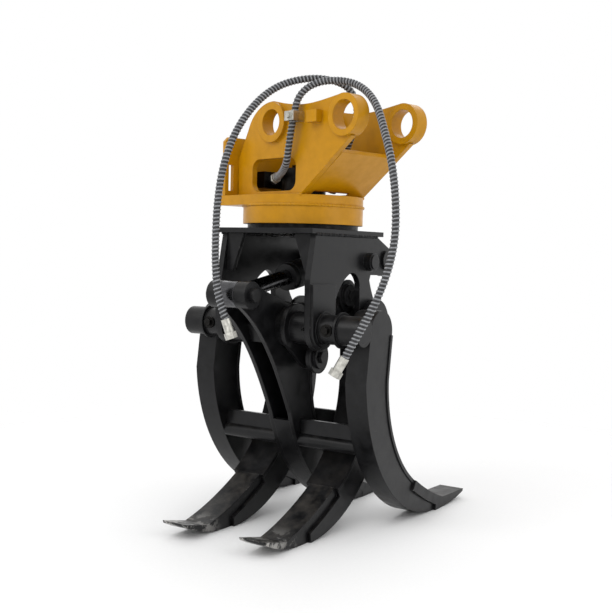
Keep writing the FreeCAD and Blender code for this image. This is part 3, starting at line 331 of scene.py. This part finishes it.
def make_finishes():
    """Every paint, metal and rubber of the grapple."""
    g = make_groups()
    p = settings()
    yellow, black = tuple(p.yellow), tuple(p.black)
    dim = tuple(c * 0.86 for c in yellow)
    grey = tuple(c * 2.0 + 0.001 for c in black)
    steel = (0.42, 0.41, 0.39)
    FINISH["yellow_paint"] = painted("Yellow enamel", g, yellow, dim, 0.34, p.wear * 0.25,
                                     (0.55, 0.42, 0.25), dust=0.10, scuff=0.06)
    FINISH["black_paint"] = painted("Black paint", g, black, grey, 0.33, p.wear * 0.5,
                                    (0.24, 0.23, 0.22), dust=0.10, scuff=0.35)
    FINISH["worn_black_paint"] = painted("Worn black paint", g, black, grey, 0.36, p.wear,
                                         steel, dust=0.18, scuff=0.8)
    FINISH["scraped_toe"] = painted("Scraped toe", g, black, grey, 0.36, p.wear, steel,
                                    dust=0.25, scuff=1.0, worn_toe=(-0.16, -0.29))
    FINISH["dark_steel"] = plain_metal("Oiled dark steel", g, (0.022, 0.021, 0.02), 0.38)
    # the rod's colour is set far below chrome's own brightness: a painted dark reflection, standing in
    # for dark surroundings mirrored in the rod
    FINISH["chromed_rod"] = plain_metal("Chromed rod with painted dark reflection", g, (0.10, 0.10, 0.105), 0.14, 0.05)
    FINISH["zinc_steel"] = plain_metal("Zinc plate", g, (0.62, 0.61, 0.56), 0.30)
    FINISH["hose_rubber"] = plastic("Hose rubber", g, (0.010, 0.010, 0.011),
                                    (0.022, 0.022, 0.024), 0.5)
    FINISH["hose_guard"] = plastic("Spiral guard", g, (0.16, 0.165, 0.175),
                                   (0.26, 0.265, 0.275), 0.3)
    FINISH["weld"] = plain_metal("Painted weld", g, (0.016, 0.016, 0.017), 0.34)
    FINISH["floor"] = plastic("Pale floor", g, (0.86, 0.86, 0.86), (0.88, 0.88, 0.88), 0.7)


FLOOR_SOLID_TO, FLOOR_GONE_AT = 1.35, 2.6


def fade_floor():
    """The floor thins out towards the pale studio around it."""
    w = Wire(FINISH["floor"].node_tree)
    far = w.node("VectorMath", operation="LENGTH")
    w.put(far.inputs[0], w.node("TexCoord").outputs["Object"])
    shader = next(n for n in w.t.nodes if n.type == "BSDF_PRINCIPLED")
    w.put(shader.inputs["Alpha"], w.span(far.outputs["Value"], FLOOR_SOLID_TO, FLOOR_GONE_AT, 1.0, 0.0))


def finish(obj, name):
    """Give an object one finish."""
    obj.data.materials.clear()
    obj.data.materials.append(FINISH[name])
    return obj


def add_mesh(name, verts, faces, smooth=True):
    me = bpy.data.meshes.new(name)
    me.from_pydata([tuple(v) for v in verts], [], faces)
    me.update()
    if smooth:
        me.shade_smooth()
    ob = bpy.data.objects.new(name, me)
    bpy.context.scene.collection.objects.link(ob)
    return ob


# ------------------------------------------------------------------ hoses
HOSE_RADIUS = 0.0082
GUARD_RADIUS = 0.0098
GUARD_SINK = 0.0002        # how deep the guard's strip is set into the rubber
GUARD_WIDTH_SHARE = 0.46   # width of the strip as a share of its pitch
GUARD_STEPS = 18           # steps in a turn of the strip
H1_START, H1_NEXT = (40, -86, 940), (40, -126, 1010)
H2_START, H2_NEXT = (-58, 44, 932), (-122, -62, 940)
HOSE_1 = [hitch(*H1_START), hitch(*H1_NEXT), head(-8, -172, 1092), head(-38, -166, 1158),
          head(-88, -108, 1180), head(-148, -50, 1166), head(-205, -20, 1132),
          head(-262, -4, 1078), head(-306, 8, 1014), head(-336, 16, 936), head(-352, 19, 848),
          head(-360, 16, 756), head(-365, 10, 676), head(-362, 2, 616), head(-353, -14, 564)]
HOSE_2 = [hitch(*H2_START), hitch(*H2_NEXT), hitch(-140, -92, 1002), hitch(-137, -104, 1074),
          hitch(-130, -113, 1128), hitch(-96, -140, 1162), hitch(-66, -205, 1164),
          hitch(-60, -272, 1140), hitch(-76, -335, 1090), hitch(-96, -380, 1022),
          hitch(-116, -424, 948), hitch(-129, -452, 862), head(-242, -414, 770),
          head(-251, -402, 690), head(-266, -377, 612), head(-285, -349, 548),
          head(-301, -322, 490)]


def nurbs(name, points, bevel):
    """A smooth curve along control points, round where bevel isn't 0."""
    cu = bpy.data.curves.new(name, "CURVE")
    cu.dimensions = "3D"
    cu.resolution_u = 10
    sp = cu.splines.new("NURBS")
    sp.points.add(len(points) - 1)
    for p, q in zip(sp.points, points):
        p.co = (*q, 1.0)
    sp.order_u = 3
    sp.use_endpoint_u = True
    cu.bevel_depth = bevel
    cu.bevel_resolution = 5
    cu.use_fill_caps = True
    ob = bpy.data.objects.new(name, cu)
    bpy.context.scene.collection.objects.link(ob)
    return ob


def line_of(points):
    """The points that a route's smooth line passes through."""
    ob = nurbs("route_probe", points, 0.0)
    bpy.context.view_layer.update()
    me = bpy.data.meshes.new_from_object(ob.evaluated_get(bpy.context.evaluated_depsgraph_get()))
    pts = [v.co.copy() for v in me.vertices]
    bpy.data.objects.remove(ob)
    return pts


def even(points, step):
    """Points at even distances along a line of points, with their running length."""
    out, here, left = [points[0].copy()], points[0].copy(), step
    for q in points[1:]:
        d = (q - here).length
        while d >= left:
            here = here + (q - here).normalized() * left
            out.append(here.copy())
            d, left = (q - here).length, step
        left -= d
        here = q.copy()
    return out


def guard(name, points, pitch, radius, width, height):
    """Flat coiled strip wound round a hose."""
    steps = GUARD_STEPS
    pts = even(points, pitch / steps)
    side = Vector((0, 0, 1)).cross(pts[1] - pts[0]).normalized()
    verts, faces = [], []
    for k, p in enumerate(pts):
        t = (pts[min(k + 1, len(pts) - 1)] - pts[max(k - 1, 0)]).normalized()
        side = (side - t * side.dot(t)).normalized()
        up = t.cross(side)
        a = 2 * math.pi * k / steps
        r = side * math.cos(a) + up * math.sin(a)
        for along, out_r in ((-0.5, 0.0), (-0.32, height), (0.32, height), (0.5, 0.0)):
            verts.append(p + r * (radius + out_r) + t * (along * width))
        if k:
            b, c = 4 * (k - 1), 4 * k
            for j in range(4):
                n = (j + 1) % 4
                faces.append((b + j, b + n, c + n, c + j))
    last = 4 * (len(pts) - 1)
    faces += [(0, 1, 2, 3), (last + 3, last + 2, last + 1, last)]
    ob = add_mesh(name, verts, faces)
    recalc(ob)
    return ob


def recalc(ob):
    """Turn all faces of a mesh outwards."""
    bm = bmesh.new()
    bm.from_mesh(ob.data)
    bmesh.ops.recalc_face_normals(bm, faces=bm.faces)
    bm.to_mesh(ob.data)
    bm.free()


class GRAPPLE_OT_hoses(bpy.types.Operator):
    """Hydraulic hoses with their spiral guards"""
    bl_idname = "grapple.hoses"
    bl_label = "Hoses"

    def execute(self, context):
        p = settings()
        for name, route in (("hose_1", HOSE_1), ("hose_2", HOSE_2)):
            line = line_of(route)
            core = nurbs(name + "_line", route, HOSE_RADIUS)
            finish(core, "hose_rubber")
            wrap = guard(name + "_guard", line, p.guard_pitch, HOSE_RADIUS - GUARD_SINK,
                         p.guard_pitch * GUARD_WIDTH_SHARE, GUARD_RADIUS - HOSE_RADIUS)
            finish(wrap, "hose_guard")
            for piece in (core, wrap):
                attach(piece, "hitch")
            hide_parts(name)
        return {"FINISHED"}


# ------------------------------------------------------------------ weld beads
RIPPLE_SIZES = (0.82, 1.12)


def bead_tree():
    """Overlapping ripples along the edges of a wire mesh."""
    t = bpy.data.node_groups.new("Weld bead", "GeometryNodeTree")
    t.interface.new_socket("Geometry", in_out="INPUT", socket_type="NodeSocketGeometry")
    for label, kind in (("Step", "NodeSocketFloat"), ("Size", "NodeSocketFloat"),
                        ("Seed", "NodeSocketInt"), ("Material", "NodeSocketMaterial")):
        t.interface.new_socket(label, in_out="INPUT", socket_type=kind)
    t.interface.new_socket("Geometry", in_out="OUTPUT", socket_type="NodeSocketGeometry")
    i, o = t.nodes.new("NodeGroupInput"), t.nodes.new("NodeGroupOutput")
    wire = t.nodes.new("GeometryNodeMeshToCurve")
    even_out = t.nodes.new("GeometryNodeResampleCurve")
    even_out.mode = "LENGTH"
    drop = t.nodes.new("GeometryNodeMeshIcoSphere")
    drop.inputs["Subdivisions"].default_value = 2
    vary = t.nodes.new("FunctionNodeRandomValue")
    vary.data_type = "FLOAT"
    vary.inputs[2].default_value, vary.inputs[3].default_value = RIPPLE_SIZES
    put = t.nodes.new("GeometryNodeInstanceOnPoints")
    solid = t.nodes.new("GeometryNodeRealizeInstances")
    paint = t.nodes.new("GeometryNodeSetMaterial")
    link = t.links.new
    link(i.outputs["Geometry"], wire.inputs[0])
    link(wire.outputs[0], even_out.inputs["Curve"])
    link(i.outputs["Step"], even_out.inputs["Length"])
    link(i.outputs["Size"], drop.inputs["Radius"])
    link(i.outputs["Seed"], vary.inputs["Seed"])
    link(even_out.outputs[0], put.inputs["Points"])
    link(drop.outputs[0], put.inputs["Instance"])
    link(vary.outputs[1], put.inputs["Scale"])
    link(put.outputs[0], solid.inputs[0])
    link(solid.outputs[0], paint.inputs["Geometry"])
    link(i.outputs["Material"], paint.inputs["Material"])
    link(paint.outputs[0], o.inputs[0])
    return t


def ring(centre, axis, radius, turns=48):
    """Closed circle of points about an axis."""
    axis = Vector(axis).normalized()
    a = axis.orthogonal().normalized()
    b = axis.cross(a)
    return [centre + (a * math.cos(2 * math.pi * k / turns) +
                      b * math.sin(2 * math.pi * k / turns)) * radius
            for k in range(turns + 1)]


def beads(name, runs, body, finish_name, seed):
    """One mesh of weld beads along several runs of points."""
    verts, edges = [], []
    for run in runs:
        first = len(verts)
        verts += [tuple(v) for v in run]
        edges += [(first + k, first + k + 1) for k in range(len(run) - 1)]
    me = bpy.data.meshes.new(name + "_run")
    me.from_pydata(verts, edges, [])
    tmp = bpy.data.objects.new(name + "_run", me)
    bpy.context.scene.collection.objects.link(tmp)
    tree = bead_tree()
    mod = tmp.modifiers.new("bead", "NODES")
    mod.node_group = tree
    p = settings()
    values = {"Step": p.bead_step, "Size": p.bead_size, "Seed": seed,
              "Material": FINISH[finish_name]}
    for item in tree.interface.items_tree:
        if item.in_out == "INPUT" and item.name in values:
            mod[item.identifier] = values[item.name]
    bpy.context.view_layer.update()
    graph = bpy.context.evaluated_depsgraph_get()
    mesh = bpy.data.meshes.new_from_object(tmp.evaluated_get(graph))
    bpy.data.objects.remove(tmp)
    mesh.shade_smooth()
    ob = bpy.data.objects.new(name, mesh)
    bpy.context.scene.collection.objects.link(ob)
    finish(ob, finish_name)
    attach(ob, body)
    return ob


class GRAPPLE_OT_welds(bpy.types.Operator):
    """Weld beads of the head and the hitch"""
    bl_idname = "grapple.welds"
    bl_label = "Weld beads"

    def execute(self, context):
        runs = []
        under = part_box("head_top_plate")[0].z - 0.001
        for name in ("near_side_plate", "far_side_plate"):
            ob = frame["nodes"][name]
            top = [v.co for v in ob.data.vertices if v.co.z > under - 0.002]
            ys = sorted({round(v.y, 4) for v in top})
            xs = [v.x for v in top]
            for y in (ys[0] - 0.001, ys[-1] + 0.001):
                runs.append([Vector((min(xs), y, under)), Vector((max(xs), y, under))])
        beads("head_weld_beads", runs, "head", "weld", 3)

        low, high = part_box("turntable_ring")
        centre = Vector(((low.x + high.x) / 2, (low.y + high.y) / 2, high.z))
        runs = [ring(centre, (0, 0, 1), (high.x - low.x) / 2, 90)]
        turn = Matrix.Rotation(HITCH_YAW, 3, "Z")
        across, along = turn @ Vector((1, 0, 0)), turn @ Vector((0, 1, 0))
        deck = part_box("hitch_base_plate")[1].z
        hub = head(0, 0, 0)
        for name in ("near_cheek", "far_cheek"):
            foot = [v.co - hub for v in frame["nodes"][name].data.vertices
                    if abs(v.co.z - deck) < 0.001]
            xs, ys = [v.dot(across) for v in foot], [v.dot(along) for v in foot]
            for x in (min(xs) - 0.0005, max(xs) + 0.0005):
                ends = [hub + across * x + along * y for y in (min(ys), max(ys))]
                for e in ends:
                    e.z = deck
                runs.append(ends)
        beads("hitch_weld_beads", runs, "hitch", "yellow_paint", 7)
        return {"FINISHED"}


# ------------------------------------------------------------------ paint on the solid parts
class GRAPPLE_OT_paint(bpy.types.Operator):
    """Paint and bare metal on every solid part"""
    bl_idname = "grapple.paint"
    bl_label = "Paint"

    def execute(self, context):
        slots = {s["node"]: s["material_slot"] for s in frame["record"]["subparts"]}
        for name, ob in frame["nodes"].items():
            kind = slots[name]
            if name == "near_fork_toe" or name == "far_fork_toe":
                kind = "scraped_toe"
            ob.data.materials.clear()
            ob.data.materials.append(FINISH[kind])
        return {"FINISHED"}


# ------------------------------------------------------------------ stage
CAMERA_FROM_AXIS = 2654.36
CAMERA_HEIGHT = 730.0
HEAD_TURN = 56.685
CAMERA_YAW, CAMERA_PITCH, CAMERA_ROLL = 0.3039, 3.1825, 1.3932
FOCAL_SHARE = 971.693 / 612.0


def from_view(u, v, z):
    """A direction given right, away and up from the viewer, in the part's frame."""
    c, s = math.cos(math.radians(HEAD_TURN)), math.sin(math.radians(HEAD_TURN))
    return Vector((u * c + v * s, -u * s + v * c, z))


def place_camera():
    """Camera on the grapple's open side, just above its middle."""
    y, p, r = (math.radians(a) for a in (CAMERA_YAW, CAMERA_PITCH, CAMERA_ROLL))
    ahead = from_view(math.sin(y) * math.cos(p), math.cos(y) * math.cos(p), -math.sin(p))
    level = from_view(math.cos(y), -math.sin(y), 0.0)
    upright = level.cross(ahead)
    right = level * math.cos(r) + upright * math.sin(r)
    up = upright * math.cos(r) - level * math.sin(r)
    spot = from_view(0, -CAMERA_FROM_AXIS * MM, 0) + head(0, 0, CAMERA_HEIGHT)
    cam = bpy.data.cameras.new("Camera")
    cam.sensor_fit = "HORIZONTAL"
    cam.sensor_width = 36.0
    cam.lens = 36.0 * FOCAL_SHARE
    ob = bpy.data.objects.new("Camera", cam)
    ob.matrix_world = Matrix((
        (right.x, up.x, -ahead.x, spot.x), (right.y, up.y, -ahead.y, spot.y),
        (right.z, up.z, -ahead.z, spot.z), (0, 0, 0, 1)))
    bpy.context.scene.collection.objects.link(ob)
    bpy.context.scene.camera = ob


def area_light(name, where, target, size, power):
    li = bpy.data.lights.new(name, "AREA")
    li.shape = "RECTANGLE"
    li.size, li.size_y = size
    li.energy = power
    ob = bpy.data.objects.new(name, li)
    d = (target - where).normalized()
    ob.matrix_world = Matrix.Translation(where) @ d.to_track_quat("-Z", "Y").to_matrix().to_4x4()
    bpy.context.scene.collection.objects.link(ob)


MIDDLE_HEIGHT = 600
# name, place from the viewer (right, away, up), size, watts
LIGHTS = (("Key", (-1.9, -1.6, 2.1), (1.8, 1.8), 30),
          ("Fill", (2.6, -1.5, 0.7), (1.6, 2.4), 14),
          ("Rim", (0.4, 2.4, 2.4), (3.0, 1.2), 16),
          ("Low", (-1.2, -2.8, -0.2), (1.6, 1.0), 4))


class GRAPPLE_OT_stage(bpy.types.Operator):
    """Pale floor, soft studio lights and world"""
    bl_idname = "grapple.stage"
    bl_label = "Stage"

    def execute(self, context):
        s = settings().floor_size / 2
        z = CAD_BOX[0][2] - 0.0005
        cx, cy = head(0, 0, 0)[:2]
        floor = add_mesh("Floor", [(cx - s, cy - s, z), (cx + s, cy - s, z), (cx + s, cy + s, z),
                                   (cx - s, cy + s, z)], [(0, 1, 2, 3)], False)
        finish(floor, "floor")
        fade_floor()
        mid = head(0, 0, MIDDLE_HEIGHT)
        for name, offset, size, power in LIGHTS:
            area_light(name, mid + from_view(*offset), mid, size, power)
        world = bpy.data.worlds.new("Studio")
        world.use_nodes = True
        back = world.node_tree.nodes["Background"]
        back.inputs[0].default_value = (1.0, 1.0, 1.0, 1.0)
        back.inputs[1].default_value = 1.0
        context.scene.world = world
        context.scene.view_settings.view_transform = "Standard"
        return {"FINISHED"}


class GRAPPLE_PT_panel(bpy.types.Panel):
    """Sidebar panel of the grapple's finish"""
    bl_idname = "GRAPPLE_PT_panel"
    bl_label = "Log grapple"
    bl_space_type = "VIEW_3D"
    bl_region_type = "UI"
    bl_category = "Grapple"

    def draw(self, context):
        for key in GrappleSettings.__annotations__:
            self.layout.prop(context.scene.grapple, key)
        for op in STEPS:
            self.layout.operator(op)


STEPS = ["grapple.hoses", "grapple.welds", "grapple.paint", "grapple.stage"]
CLASSES = [GrappleSettings, GRAPPLE_OT_hoses, GRAPPLE_OT_welds, GRAPPLE_OT_paint, GRAPPLE_OT_stage,
           GRAPPLE_PT_panel]


def register():
    for cls in CLASSES:
        bpy.utils.register_class(cls)
    bpy.types.Scene.grapple = bpy.props.PointerProperty(type=GrappleSettings)


def unregister():
    del bpy.types.Scene.grapple
    for cls in reversed(CLASSES):
        bpy.utils.unregister_class(cls)


def main():
    """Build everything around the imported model."""
    register()
    place_camera()
    make_finishes()
    for step in STEPS:
        family, name = step.split(".")
        getattr(getattr(bpy.ops, family), name)()


if __name__ == "__main__":
    main()
